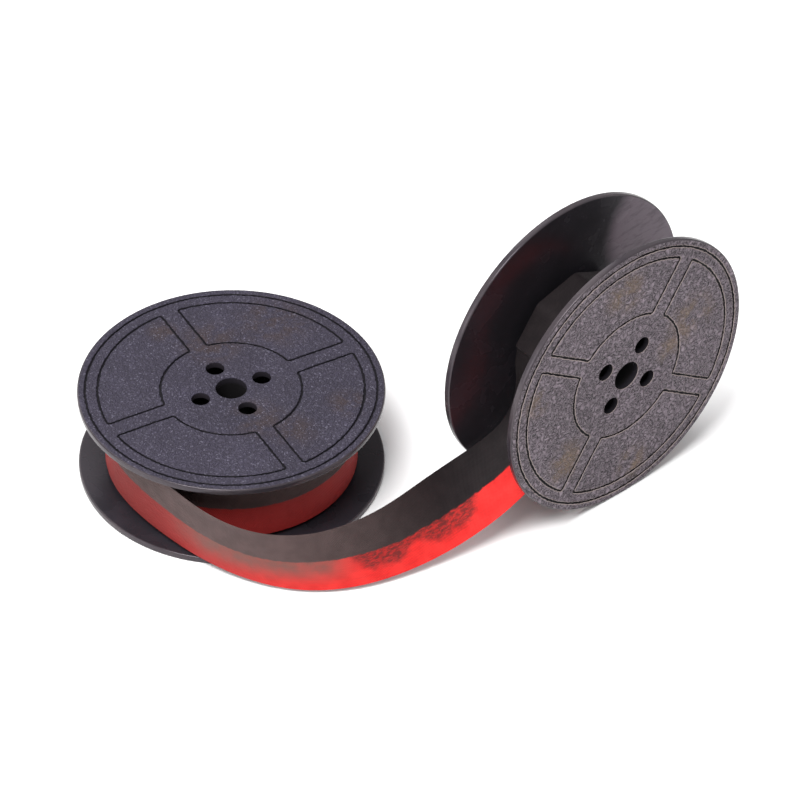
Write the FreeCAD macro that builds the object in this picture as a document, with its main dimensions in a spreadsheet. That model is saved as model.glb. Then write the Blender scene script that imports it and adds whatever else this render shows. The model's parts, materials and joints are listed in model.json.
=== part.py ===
"""Typewriter ribbon on two spools, in millimetres.

The supply spool lies flat on its lower flange. The take-up spool stands on the rims of its two
flanges. A black and red ribbon runs from one to the other. The origin is on the supply spool's
axis, in the plane that both spools stand on. +Z is up, and +X points at the take-up spool.
"""

import FreeCAD, Part
import math
import os

import Sketcher
from FreeCAD import Placement, Rotation, Vector

DIMENSIONS = [
    # one spool, made twice from the same moulds
    ("spool_height", 17.3),
    ("flange_radius", 27.0),
    ("flange_thickness", 1.2),
    ("rim_rounding", 0.45),
    ("bore_radius", 2.75),
    ("drive_hole_radius", 1.65),
    ("drive_circle_radius", 6.05),
    ("register_radius", 10.1),
    ("register_wall", 1.0),
    ("register_height", 0.8),
    # lines engraved in each flange's outer face
    ("rim_line_radius", 25.6),
    ("sector_outer_radius", 23.4),
    ("sector_inner_radius", 12.4),
    ("spoke_width", 3.4),
    ("line_width", 0.5),
    ("line_depth", 0.25),
    # hub between the flanges
    ("barrel_radius", 11.0),
    ("barrel_wall", 0.8),
    ("sleeve_wall", 1.0),
    ("slot_width", 1.8),
    ("slot_length", 9.0),
    ("clip_play", 0.1),
    ("clip_head_gap", 0.3),
    ("clip_head_width", 4.4),
    ("clip_head_thickness", 0.9),
    # ribbon
    ("ribbon_width", 13.0),
    ("ribbon_thickness", 0.12),
    ("winding_play", 0.02),
    ("supply_pack_radius", 22.0),
    ("takeup_pack_radius", 12.0),
    ("eyelet_radius", 2.25),
    ("eyelet_hole_radius", 1.3),
    ("eyelet_wall", 0.3),
    ("eyelet_length", 0.6),
    ("eyelet_lip", 0.15),
    ("eyelet_play", 0.05),
    ("eyelet_depth", 0.2),
    # how the two spools stand
    ("takeup_distance", 63.0),
    ("takeup_azimuth", -48.0),
    ("supply_turn", 29.8),
    ("takeup_turn", 55.4),
]

# The free ribbon between the two packs: the middle of its width, then how far the black edge
# leans from upright and the compass angle that it leans towards, both in degrees.
FREE_RIBBON = [
    (-21.6, -5.3, 9.1, 0, 270),
    (-17.9, -13.8, 9.1, 0, 270),
    (-11.2, -21.9, 8.7, 3, 270),
    (-4.0, -28.3, 8.0, 8, 270),
    (4.3, -32.7, 7.4, 8, 270),
    (13.6, -34.0, 7.2, 1, 270),
    (23.5, -31.3, 7.4, 13, 120),
    (31.6, -26.0, 7.6, 29, 132),
    (38.9, -19.8, 8.3, 50, 135),
    (46.0, -14.1, 10.4, 71, 132),
    (52.1, -9.7, 15.4, 87, 130),
    (54.0, -8.1, 24.9, 90, 132),
]

SPOKES = 4
FULL_TURN = 360
HALF_TURN = 180
SAME_LENGTH = 1e-6
ROUGH = 1.0  # a size that a sketch's geometry has until its constraints set the real one

doc = FreeCAD.newDocument("TypewriterRibbon")
sheet = doc.addObject("Spreadsheet::Sheet", "Dims")
for row, (alias, size) in enumerate(DIMENSIONS, start=1):
    sheet.set(f"A{row}", alias)
    sheet.set(f"B{row}", f"{size:g}")
    sheet.setAlias(f"B{row}", alias)
doc.recompute()


def dim(alias):
    """The number in the cell with this alias."""
    return float(sheet.get(alias))


def origin_plane(body, role):
    """The origin feature of this body that has this role, such as XY_Plane or Z_Axis."""
    return next(f for f in body.Origin.OriginFeatures if f.Role == role)


def attached_sketch(body, name, role="XY_Plane"):
    """An empty sketch on one of the body's own origin planes."""
    sketch = body.newObject("Sketcher::SketchObject", name)
    sketch.AttachmentSupport = [(origin_plane(body, role), "")]
    sketch.MapMode = "FlatFace"
    return sketch


def bind(sketch, constraint, name, expression):
    """Names a sketch's constraint and takes its value from the sheet."""
    sketch.renameConstraint(constraint, name)
    sketch.setExpression(f"Constraints.{name}", expression)


def add_circle(sketch, name, expression, centre_expression=None):
    """A circle about the sketch's origin, or centred on its X axis at centre_expression."""
    rough = Part.Circle(Vector(ROUGH, 0, 0), Vector(0, 0, 1), ROUGH)
    circle = sketch.addGeometry(rough, False)
    if centre_expression is None:
        sketch.addConstraint(Sketcher.Constraint("Coincident", circle, 3, -1, 1))
    else:
        sketch.addConstraint(Sketcher.Constraint("PointOnObject", circle, 3, -1))
        at = sketch.addConstraint(Sketcher.Constraint("DistanceX", -1, 1, circle, 3, ROUGH))
        bind(sketch, at, f"{name}_centre", centre_expression)
    radius = sketch.addConstraint(Sketcher.Constraint("Radius", circle, ROUGH))
    bind(sketch, radius, f"{name}_radius", expression)


def add_rectangle(sketch, name, left, right, bottom, top):
    """A rectangle whose four sides lie at these expressions' values."""
    near, far = ROUGH, 2 * ROUGH
    corners = [Vector(near, near), Vector(far, near), Vector(far, far), Vector(near, far)]
    lines = [
        sketch.addGeometry(Part.LineSegment(corners[i], corners[(i + 1) % 4]), False)
        for i in range(4)
    ]
    for i in range(4):
        sketch.addConstraint(Sketcher.Constraint("Coincident", lines[i], 2, lines[(i + 1) % 4], 1))
        level = "Horizontal" if i % 2 == 0 else "Vertical"
        sketch.addConstraint(Sketcher.Constraint(level, lines[i]))
    sides = [
        ("left", "DistanceX", lines[0], 1, left),
        ("bottom", "DistanceY", lines[0], 1, bottom),
        ("right", "DistanceX", lines[2], 1, right),
        ("top", "DistanceY", lines[2], 1, top),
    ]
    for side, kind, line, point, expression in sides:
        at = sketch.addConstraint(Sketcher.Constraint(kind, -1, 1, line, point, ROUGH))
        bind(sketch, at, f"{name}_{side}", expression)


def add_sector(sketch, name, outer, inner, gap):
    """A quarter ring between the +X and +Y axes, its straight sides at gap from the axes.

    outer, inner and gap are the starting numbers and the expressions: two radii and the gap.
    """
    (outer_size, outer_rule), (inner_size, inner_rule), (gap_size, gap_rule) = outer, inner, gap
    origin = Vector(0, 0, 0)
    up = Vector(0, 0, 1)
    arcs = []
    for radius in (outer_size, inner_size):
        start = math.asin(gap_size / radius)
        arc = Part.ArcOfCircle(Part.Circle(origin, up, radius), start, math.pi / 2 - start)
        arcs.append(sketch.addGeometry(arc, False))
    outer_reach = math.sqrt(outer_size**2 - gap_size**2)
    inner_reach = math.sqrt(inner_size**2 - gap_size**2)
    level = Part.LineSegment(Vector(inner_reach, gap_size, 0), Vector(outer_reach, gap_size, 0))
    upright = Part.LineSegment(Vector(gap_size, outer_reach, 0), Vector(gap_size, inner_reach, 0))
    side_x = sketch.addGeometry(level, False)
    side_y = sketch.addGeometry(upright, False)
    corners = [(side_x, 2, arcs[0], 1), (arcs[0], 2, side_y, 1)]
    corners += [(side_y, 2, arcs[1], 2), (side_x, 1, arcs[1], 1)]
    for first, first_end, second, second_end in corners:
        sketch.addConstraint(
            Sketcher.Constraint("Coincident", first, first_end, second, second_end)
        )
    sketch.addConstraint(Sketcher.Constraint("Horizontal", side_x))
    sketch.addConstraint(Sketcher.Constraint("Vertical", side_y))
    for arc in arcs:
        sketch.addConstraint(Sketcher.Constraint("Coincident", arc, 3, -1, 1))
    sizes = [
        ("outer", Sketcher.Constraint("Radius", arcs[0], outer_size), outer_rule),
        ("inner", Sketcher.Constraint("Radius", arcs[1], inner_size), inner_rule),
        ("gap_x", Sketcher.Constraint("DistanceX", -1, 1, side_y, 1, gap_size), gap_rule),
        ("gap_y", Sketcher.Constraint("DistanceY", -1, 1, side_x, 1, gap_size), gap_rule),
    ]
    for part_name, constraint, rule in sizes:
        bind(sketch, sketch.addConstraint(constraint), f"{name}_{part_name}", rule)


def pad(body, name, sketch, length, downwards=False):
    """A Pad of the sketch, as long as the expression says."""
    feature = body.newObject("PartDesign::Pad", name)
    feature.Profile = sketch
    feature.Reversed = downwards
    feature.setExpression("Length", length)
    return feature


def pocket(body, name, sketch, depth, both_ways=False):
    """A Pocket of the sketch, against its normal, or half each way."""
    feature = body.newObject("PartDesign::Pocket", name)
    feature.Profile = sketch
    feature.setExpression("Length", depth)
    if both_ways:
        feature.SideType = "Symmetric"
    return feature


def quarter_turns(body, name, features):
    """Repeats these features about the body's Z axis, once for each spoke."""
    pattern = body.newObject("PartDesign::PolarPattern", name)
    pattern.Originals = features
    pattern.Axis = (origin_plane(body, "Z_Axis"), [""])
    pattern.Angle = FULL_TURN
    pattern.Occurrences = SPOKES
    body.Tip = pattern
    return pattern


def flange(label):
    """A flange, its inner face on the XY plane and its engraved outer face above.

    Two of the four spokes between the engraved sectors, and two of the drive holes, lie on the
    X axis.
    """
    body = doc.addObject("PartDesign::Body", label)

    disc_outline = attached_sketch(body, f"{label}_disc_outline")
    add_circle(disc_outline, "rim", "Dims.flange_radius")
    add_circle(disc_outline, "bore", "Dims.bore_radius")
    disc = pad(body, f"{label}_disc", disc_outline, "Dims.flange_thickness")
    doc.recompute()

    rim_edges = [
        f"Edge{number}"
        for number, edge in enumerate(disc.Shape.Edges, start=1)
        if hasattr(edge.Curve, "Radius")
        and abs(edge.Curve.Radius - dim("flange_radius")) < SAME_LENGTH
    ]
    rounding = body.newObject("PartDesign::Fillet", f"{label}_rim_rounding")
    rounding.Base = (disc, rim_edges)
    rounding.setExpression("Radius", "Dims.rim_rounding")

    register_outline = attached_sketch(body, f"{label}_register_outline")
    add_circle(register_outline, "outer", "Dims.register_radius")
    add_circle(register_outline, "inner", "Dims.register_radius - Dims.register_wall")
    pad(body, f"{label}_register", register_outline, "Dims.register_height", downwards=True)

    rim_line_outline = attached_sketch(body, f"{label}_rim_line_outline")
    rim_line_outline.setExpression("AttachmentOffset.Base.z", "Dims.flange_thickness")
    add_circle(rim_line_outline, "outer", "Dims.rim_line_radius + Dims.line_width / 2")
    add_circle(rim_line_outline, "inner", "Dims.rim_line_radius - Dims.line_width / 2")
    pocket(body, f"{label}_rim_line", rim_line_outline, "Dims.line_depth")

    half_line = dim("line_width") / 2
    half_spoke = dim("spoke_width") / 2
    sector_outline = attached_sketch(body, f"{label}_sector_outline")
    sector_outline.setExpression("AttachmentOffset.Base.z", "Dims.flange_thickness")
    for name, outwards in (("outside", 1), ("inside", -1)):
        shift = outwards * half_line
        shift_rule = f"({outwards} * Dims.line_width / 2)"
        add_sector(
            sector_outline,
            name,
            (dim("sector_outer_radius") + shift, f"Dims.sector_outer_radius + {shift_rule}"),
            (dim("sector_inner_radius") - shift, f"Dims.sector_inner_radius - {shift_rule}"),
            (half_spoke - shift, f"Dims.spoke_width / 2 - {shift_rule}"),
        )
    sector_line = pocket(body, f"{label}_sector_line", sector_outline, "Dims.line_depth")

    drive_outline = attached_sketch(body, f"{label}_drive_outline")
    add_circle(drive_outline, "drive", "Dims.drive_hole_radius", "Dims.drive_circle_radius")
    drive_hole = pocket(
        body, f"{label}_drive_hole", drive_outline, "Dims.spool_height", both_ways=True
    )
    doc.recompute()
    quarter_turns(body, f"{label}_quarter_turns", [sector_line, drive_hole])
    return body


def hub_barrel(label):
    """The drum that the ribbon is wound on, with a slot in its +X side for the ribbon's end."""
    body = doc.addObject("PartDesign::Body", label)
    wall_outline = attached_sketch(body, f"{label}_wall_outline")
    add_circle(wall_outline, "outer", "Dims.barrel_radius")
    add_circle(wall_outline, "inner", "Dims.barrel_radius - Dims.barrel_wall")
    pad(body, f"{label}_wall", wall_outline, "Dims.spool_height - 2 * Dims.flange_thickness")

    slot_outline = attached_sketch(body, f"{label}_slot_outline", "XZ_Plane")
    slot_outline.setExpression("AttachmentOffset.Base.z", "-Dims.slot_width / 2")
    middle = "(Dims.spool_height / 2 - Dims.flange_thickness)"
    add_rectangle(
        slot_outline,
        "slot",
        "Dims.barrel_radius - 2 * Dims.barrel_wall",
        "Dims.barrel_radius + Dims.barrel_wall",
        f"{middle} - Dims.slot_length / 2",
        f"{middle} + Dims.slot_length / 2",
    )
    slot = body.newObject("PartDesign::Pocket", f"{label}_slot")
    slot.Profile = slot_outline
    slot.Reversed = True
    slot.setExpression("Length", "Dims.slot_width")
    return body


def spindle_sleeve(label):
    """The tube around the bore, from one flange to the other."""
    body = doc.addObject("PartDesign::Body", label)
    wall_outline = attached_sketch(body, f"{label}_wall_outline")
    add_circle(wall_outline, "outer", "Dims.bore_radius + Dims.sleeve_wall")
    add_circle(wall_outline, "inner", "Dims.bore_radius")
    pad(body, f"{label}_wall", wall_outline, "Dims.spool_height - 2 * Dims.flange_thickness")
    return body


def end_clip(label):
    """The clip that holds the ribbon's end in the barrel's slot: a neck, with a head inside."""
    inside = "(Dims.barrel_radius - Dims.barrel_wall)"
    length = "(Dims.slot_length - 2 * Dims.clip_play)"
    bottom = f"(Dims.spool_height / 2 - Dims.flange_thickness - {length} / 2)"
    neck_width = "(Dims.slot_width - 2 * Dims.clip_play)"
    head_face = f"({inside} - Dims.clip_head_gap)"

    neck = doc.addObject("Part::Box", f"{label}_neck")
    neck.setExpression("Length", f"Dims.barrel_radius - Dims.clip_play - {head_face}")
    neck.setExpression("Width", neck_width)
    neck.setExpression("Height", length)
    neck.setExpression("Placement.Base.x", head_face)
    neck.setExpression("Placement.Base.y", f"-{neck_width} / 2")
    neck.setExpression("Placement.Base.z", bottom)

    head = doc.addObject("Part::Box", f"{label}_head")
    head.setExpression("Length", "Dims.clip_head_thickness")
    head.setExpression("Width", "Dims.clip_head_width")
    head.setExpression("Height", length)
    head.setExpression("Placement.Base.x", f"{head_face} - Dims.clip_head_thickness")
    head.setExpression("Placement.Base.y", "-Dims.clip_head_width / 2")
    head.setExpression("Placement.Base.z", bottom)

    clip = doc.addObject("Part::Fuse", label)
    clip.Base = neck
    clip.Tool = head
    return clip


def eyelet(label):
    """The metal eyelet near the ribbon's end, its axis along X, outside the barrel's -X side."""
    body = doc.addObject("PartDesign::Body", label)
    profile = attached_sketch(body, f"{label}_profile", "XZ_Plane")
    near = "-(Dims.barrel_radius + Dims.eyelet_depth)"
    far = f"({near} - Dims.eyelet_length)"
    tube_radius = "(Dims.eyelet_hole_radius + Dims.eyelet_wall)"
    add_rectangle(profile, "tube", far, near, "Dims.eyelet_hole_radius", tube_radius)
    tube = body.newObject("PartDesign::Revolution", f"{label}_tube")
    tube.Profile = profile
    tube.ReferenceAxis = (origin_plane(body, "X_Axis"), [""])
    for name, outer_end in (("near", near), ("far", f"({far} + Dims.eyelet_lip)")):
        lip_profile = attached_sketch(body, f"{label}_{name}_lip_profile", "XZ_Plane")
        inner_end = f"({outer_end} - Dims.eyelet_lip)"
        sides = (inner_end, outer_end, "Dims.eyelet_hole_radius", "Dims.eyelet_radius")
        add_rectangle(lip_profile, "lip", *sides)
        lip = body.newObject("PartDesign::Revolution", f"{label}_{name}_lip")
        lip.Profile = lip_profile
        lip.ReferenceAxis = (origin_plane(body, "X_Axis"), [""])
    return body


def ribbon_pack(label, outer_radius):
    """The wound ribbon: a ring as wide as the ribbon, hollowed where the eyelet lies in it."""
    body = doc.addObject("PartDesign::Body", label)
    outline = attached_sketch(body, f"{label}_outline")
    add_circle(outline, "outer", outer_radius)
    add_circle(outline, "inner", "Dims.barrel_radius + Dims.winding_play")
    winding = pad(body, f"{label}_winding", outline, "Dims.ribbon_width")

    cavity_outline = attached_sketch(body, f"{label}_cavity_outline", "YZ_Plane")
    cavity_outline.setExpression("AttachmentOffset.Base.z", "-Dims.barrel_radius")
    cavity_outline.setExpression("AttachmentOffset.Base.y", "Dims.ribbon_width / 2")
    add_circle(cavity_outline, "cavity", "Dims.eyelet_radius + Dims.eyelet_play")
    cavity = body.newObject("PartDesign::Pocket", f"{label}_cavity")
    cavity.Profile = cavity_outline
    cavity.setExpression("Length", "Dims.eyelet_depth + Dims.eyelet_length + Dims.eyelet_play")
    return body


def interpolated(points):
    """A smooth edge through the points."""
    curve = Part.BSplineCurve()
    curve.interpolate(points)
    return curve.toShape()


def free_ribbon(label):
    """The free ribbon: a thin twisted strip whose two edges are smooth curves."""
    centres = [Vector(x, y, z) for x, y, z, lean, bearing in FREE_RIBBON]
    leans = [
        Rotation(Vector(0, 0, 1), bearing) * Rotation(Vector(0, 1, 0), lean)
        for x, y, z, lean, bearing in FREE_RIBBON
    ]
    towards_black = [turn.multVec(Vector(0, 0, 1)) for turn in leans]
    middle = Part.BSplineCurve()
    middle.interpolate(centres)
    along = [Vector(*middle.tangent(middle.parameter(centre))[0]) for centre in centres]
    half_width = dim("ribbon_width") / 2
    half_thickness = dim("ribbon_thickness") / 2

    edges = []
    for width_sign, face_sign in ((1, 1), (-1, 1), (-1, -1), (1, -1)):
        points = []
        for centre, black, ahead in zip(centres, towards_black, along):
            outwards = black.cross(ahead).normalize()
            across = black * (width_sign * half_width)
            points.append(centre + across + outwards * (face_sign * half_thickness))
        edges.append(interpolated(points))

    faces = [Part.makeRuledSurface(edges[i], edges[(i + 1) % 4]) for i in range(4)]
    for end in (0, -1):
        corners = [edge.Vertexes[end].Point for edge in edges]
        faces.append(Part.Face(Part.makePolygon(corners + corners[:1])))
    shell = Part.Shell(faces)
    shell.sewShape()
    solid = Part.Solid(shell)
    if solid.Volume < 0:
        solid.reverse()
    strip = doc.addObject("Part::Feature", label)
    strip.Shape = solid
    strip.Placement = Placement()
    return strip


# A spool's own frame has its axis along Z and its middle at the origin. These place it.
SUPPLY_FRAME = Placement(Vector(0, 0, dim("spool_height") / 2), Rotation())
takeup_axis = Rotation(Vector(0, 0, 1), dim("takeup_azimuth")).multVec(Vector(1, 0, 0))
TAKEUP_FRAME = Placement(
    Vector(dim("takeup_distance"), 0, dim("flange_radius")),
    Rotation(Vector(0, 0, 1).cross(takeup_axis), Vector(0, 0, 1), takeup_axis, "ZXY"),
)


def place(piece, spool_frame, turn, along_axis, turned_over=False):
    """Puts a piece on a spool, turned about its axis, at this distance from the middle."""
    over = Rotation(Vector(1, 0, 0), HALF_TURN if turned_over else 0)
    own = Placement(Vector(0, 0, along_axis), Rotation(Vector(0, 0, 1), turn) * over)
    piece.Placement = spool_frame * own
    return piece


def spool(prefix, flange_names, spool_frame, turn, pack_radius):
    """Every piece of one spool, with the ribbon that is wound on it."""
    inner_face = dim("spool_height") / 2 - dim("flange_thickness")
    half_ribbon = dim("ribbon_width") / 2
    front, back = flange_names
    return [
        place(flange(f"{prefix}_{front}"), spool_frame, turn, inner_face),
        place(flange(f"{prefix}_{back}"), spool_frame, turn, -inner_face, turned_over=True),
        place(hub_barrel(f"{prefix}_hub_barrel"), spool_frame, turn, -inner_face),
        place(spindle_sleeve(f"{prefix}_spindle_sleeve"), spool_frame, turn, -inner_face),
        place(end_clip(f"{prefix}_end_clip"), spool_frame, turn, -inner_face),
        place(eyelet(f"{prefix}_eyelet"), spool_frame, turn, 0),
        place(
            ribbon_pack(f"{prefix}_ribbon_pack", pack_radius), spool_frame, turn, -half_ribbon
        ),
    ]


pieces = spool(
    "supply", ("upper_flange", "lower_flange"), SUPPLY_FRAME, dim("supply_turn"),
    "Dims.supply_pack_radius",
)
pieces += spool(
    "takeup", ("front_flange", "back_flange"), TAKEUP_FRAME, dim("takeup_turn"),
    "Dims.takeup_pack_radius",
)
pieces.append(free_ribbon("free_ribbon"))
doc.recompute()

for item in doc.Objects:
    if "Invalid" in item.State or "Error" in item.State:
        raise RuntimeError(f"{item.Label} failed: {item.State}")
for piece in pieces:
    if piece.Shape.isNull() or not piece.Shape.isValid() or len(piece.Shape.Solids) != 1:
        raise RuntimeError(f"{piece.Label} isn't one valid solid")

os.makedirs("parts", exist_ok=True)
for piece in pieces:
    piece.Shape.exportStep(f"parts/{piece.Label}.step")
    box = piece.Shape.BoundBox
    print(f"{piece.Label}: {piece.Shape.Volume:.1f} mm3, z {box.ZMin:.2f} to {box.ZMax:.2f}")
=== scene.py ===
import json
import math

import bmesh
import bpy
import numpy as np
from mathutils import Matrix, Vector
from mathutils.geometry import delaunay_2d_cdt


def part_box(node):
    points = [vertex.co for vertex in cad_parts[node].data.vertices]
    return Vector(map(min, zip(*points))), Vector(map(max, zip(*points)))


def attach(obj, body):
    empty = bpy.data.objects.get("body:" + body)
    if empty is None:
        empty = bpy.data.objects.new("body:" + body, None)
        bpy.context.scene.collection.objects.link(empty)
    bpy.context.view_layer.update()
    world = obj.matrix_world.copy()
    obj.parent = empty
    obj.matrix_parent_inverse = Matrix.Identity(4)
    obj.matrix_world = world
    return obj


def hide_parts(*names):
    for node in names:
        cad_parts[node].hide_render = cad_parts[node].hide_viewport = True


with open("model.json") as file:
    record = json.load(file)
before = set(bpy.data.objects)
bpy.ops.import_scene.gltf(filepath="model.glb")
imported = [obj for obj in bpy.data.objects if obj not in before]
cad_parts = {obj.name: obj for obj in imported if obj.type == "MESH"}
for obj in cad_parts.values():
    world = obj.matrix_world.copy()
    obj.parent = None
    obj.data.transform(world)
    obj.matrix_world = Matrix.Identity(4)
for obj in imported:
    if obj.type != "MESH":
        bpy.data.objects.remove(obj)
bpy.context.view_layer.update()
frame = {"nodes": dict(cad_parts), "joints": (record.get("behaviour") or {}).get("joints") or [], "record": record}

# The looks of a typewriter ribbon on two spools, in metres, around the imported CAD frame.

MM = 0.001
QUARTER = math.pi / 2
FULL_TURN = 2 * math.pi
SAME_POINT = 0.0005 * MM
RANDOM_SEED = 7

# ---------------------------------------------------------------- sizes read from the frame


def mount(name):
    """A mount's dimensions."""
    return next(m["dims"] for m in frame["record"]["mounts"] if m["name"] == name)


def joint(name):
    """A joint's point and axis."""
    found = next(j for j in frame["joints"] if j["name"] == name)
    return Vector(found["pos_m"]), Vector(found["axis"]).normalized()


def middle_of(node):
    """The middle of a CAD node's box."""
    low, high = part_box(node)
    return (low + high) / 2


SPOOL_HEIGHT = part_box("supply_upper_flange")[1].z
FLANGE_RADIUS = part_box("supply_upper_flange")[1].x
INNER_FACE = SPOOL_HEIGHT / 2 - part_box("supply_hub_barrel")[0].z
FLANGE_THICKNESS = SPOOL_HEIGHT / 2 - INNER_FACE
BARREL_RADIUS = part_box("supply_hub_barrel")[1].x
BORE_RADIUS = mount("supply_spindle_bore")["r_mm"] * MM
DRIVE_HOLE_RADIUS = mount("supply_drive_holes")["hole_r_mm"] * MM
DRIVE_CIRCLE_RADIUS = mount("supply_drive_holes")["pcd_mm"] * MM / 2
DRIVE_HOLES = mount("supply_drive_holes")["count"]
RIBBON_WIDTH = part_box("supply_ribbon_pack")[1].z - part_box("supply_ribbon_pack")[0].z
SUPPLY_PACK_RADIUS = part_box("supply_ribbon_pack")[1].x
TAKEUP_PACK_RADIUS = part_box("takeup_ribbon_pack")[1].z - joint("takeup_spin")[0].z


def spool_matrix(prefix):
    """From a spool's own frame, with its axis along Z and its eyelet on -X, to the object's."""
    centre, axis = joint(f"{prefix}_spin")
    from_eyelet = centre - middle_of(f"{prefix}_eyelet")
    across = (from_eyelet - axis * from_eyelet.dot(axis)).normalized()
    matrix = Matrix((across, axis.cross(across), axis)).transposed().to_4x4()
    matrix.translation = centre
    return matrix


# ---------------------------------------------------------------- meshes and objects


def face_outwards(mesh, weld=0.0):
    """Turns a closed mesh's faces outwards, after welding the corners nearer than weld."""
    work = bmesh.new()
    work.from_mesh(mesh)
    if weld:
        bmesh.ops.remove_doubles(work, verts=work.verts, dist=weld)
    bmesh.ops.recalc_face_normals(work, faces=work.faces)
    work.to_mesh(mesh)
    work.free()


def smooth(mesh, crease_degrees):
    """Shades a mesh smooth, apart from the creases sharper than this."""
    mesh.shade_smooth()
    mesh.set_sharp_from_angle(angle=math.radians(crease_degrees))


def shown(name, data):
    """A new object in the scene."""
    made = bpy.data.objects.new(name, data)
    bpy.context.scene.collection.objects.link(made)
    return made


# ---------------------------------------------------------------- materials

SHINE_TINT = (1.0, 0.90, 0.98, 1)
OUTER_SHINE = 0.28
INNER_SHINE = 0.18
RIM_SHINE = 0.38
TAKEUP_INNER_SHINE = 0.12
# the colour of a reflection painted on glossy plastic
PAINTED_REFLECTION_COLOUR = (0.172, 0.141, 0.168, 1)
# scratches: each direction in radians, and how much finer it is than the first
SCRATCHES = ((0.5, 1.0), (1.5, 1.6), (2.4, 2.3))
ORANGE_PEEL_DEPTH = 0.012 * MM
TARNISH_DEPTH = 0.01 * MM
# the scales of a fine grain and of pale specks that are painted glints, per millimetre
FINE_GRAIN = 6.0
PAINTED_GLINT_GRAIN = 4.6


class Finish:
    """A material under construction: its Principled shader and the nodes that feed it."""

    def __init__(self, name):
        self.material = bpy.data.materials.new(name)
        self.material.use_nodes = True
        self.tree = self.material.node_tree
        self.shader = self.tree.nodes["Principled BSDF"]

    def feed(self, socket, value):
        """Links a node's output to a socket, or sets the socket to a plain value."""
        if isinstance(value, bpy.types.NodeSocket):
            self.tree.links.new(value, socket)
        else:
            socket.default_value = value

    def node(self, kind, inputs, output=0, **settings):
        """A node with these inputs and settings; returns one of its outputs."""
        made = self.tree.nodes.new(kind)
        for key, value in settings.items():
            setattr(made, key, value)
        for key, value in inputs.items():
            self.feed(made.inputs[key], value)
        return made.outputs[output]

    def sum(self, a, b):
        """a plus b."""
        return self.node("ShaderNodeMath", {0: a, 1: b}, operation="ADD")

    def product(self, a, b):
        """a times b."""
        return self.node("ShaderNodeMath", {0: a, 1: b}, operation="MULTIPLY")

    def distance(self, a, number):
        """How far a is from a plain number."""
        return self.node("ShaderNodeMath", {0: self.sum(a, -number)}, operation="ABSOLUTE")

    def sine(self, a):
        """The sine of a."""
        return self.node("ShaderNodeMath", {0: a}, operation="SINE")

    def step(self, value, low, high, from_value=0.0, to_value=1.0):
        """Goes smoothly from from_value at low to to_value at high."""
        ends = {"From Min": low, "From Max": high, "To Min": from_value, "To Max": to_value}
        return self.node(
            "ShaderNodeMapRange", {"Value": value, **ends}, interpolation_type="SMOOTHSTEP"
        )

    def band(self, value, rise, fall):
        """Goes from 0 to 1 over the rise, a low and a high, and back to 0 over the fall."""
        return self.product(self.step(value, *rise), self.step(value, *fall, 1.0, 0.0))

    def mix(self, share, a, b, **settings):
        """Colour a where share is 0, colour b where it is 1."""
        inputs = {0: share, 6: a, 7: b}
        return self.node("ShaderNodeMix", inputs, output=2, data_type="RGBA", **settings)

    def shaded(self, colour, brightness):
        """A colour times a brightness."""
        grey = self.node("ShaderNodeCombineColor", {0: brightness, 1: brightness, 2: brightness})
        return self.mix(1.0, colour, grey, blend_type="MULTIPLY")

    def millimetres(self, stretch=(1, 1, 1), turn=0.0):
        """The point on the piece, in millimetres, turned about Z and then scaled along each axis."""
        point = self.node("ShaderNodeTexCoord", {}, output=3)
        units = [MM / part for part in stretch]
        inputs = {"Vector": point, "Scale": units, "Rotation": (0, 0, turn)}
        return self.node("ShaderNodeMapping", inputs, vector_type="TEXTURE")

    def scaled(self, place, x, y):
        """A flat place with its two coordinates scaled."""
        return self.node("ShaderNodeMapping", {"Vector": place, "Scale": (x, y, 1)})

    def noise(self, point, scale, detail=2.0, roughness=0.5, distortion=0.0):
        """Smooth noise, from about 0.2 to 0.8, with about scale waves to each unit of the point."""
        inputs = {"Vector": point, "Scale": scale, "Detail": detail}
        inputs |= {"Roughness": roughness, "Distortion": distortion}
        return self.node("ShaderNodeTexNoise", inputs)

    def grains(self, point, scale):
        """A random number for each small cell, from 0 to 1."""
        cell = self.node("ShaderNodeTexVoronoi", {"Vector": point, "Scale": scale}, output=1)
        return self.node("ShaderNodeSeparateColor", {"Color": cell})

    def spots(self, point, spots, heart=0.2):
        """Goes from 1 in the heart of each spot (centre, radius) to 0 at its edge."""
        share = 0.0
        for centre, radius in spots:
            away = self.node("ShaderNodeVectorMath", {0: point, 1: centre}, 1, operation="DISTANCE")
            spot = self.step(away, heart * radius, radius, 1.0, 0.0)
            share = self.node("ShaderNodeMath", {0: share, 1: spot}, operation="MAXIMUM")
        return share

    def bump(self, height, distance):
        """Raises the surface by up to distance where height is 1."""
        inputs = {"Height": height, "Distance": distance, "Strength": 1.0}
        self.feed(self.shader.inputs["Normal"], self.node("ShaderNodeBump", inputs))

    def set(self, **values):
        """Sets the shader's own sockets, named with _ in place of spaces."""
        for name, value in values.items():
            self.feed(self.shader.inputs[name.replace("_", " ")], value)


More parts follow.
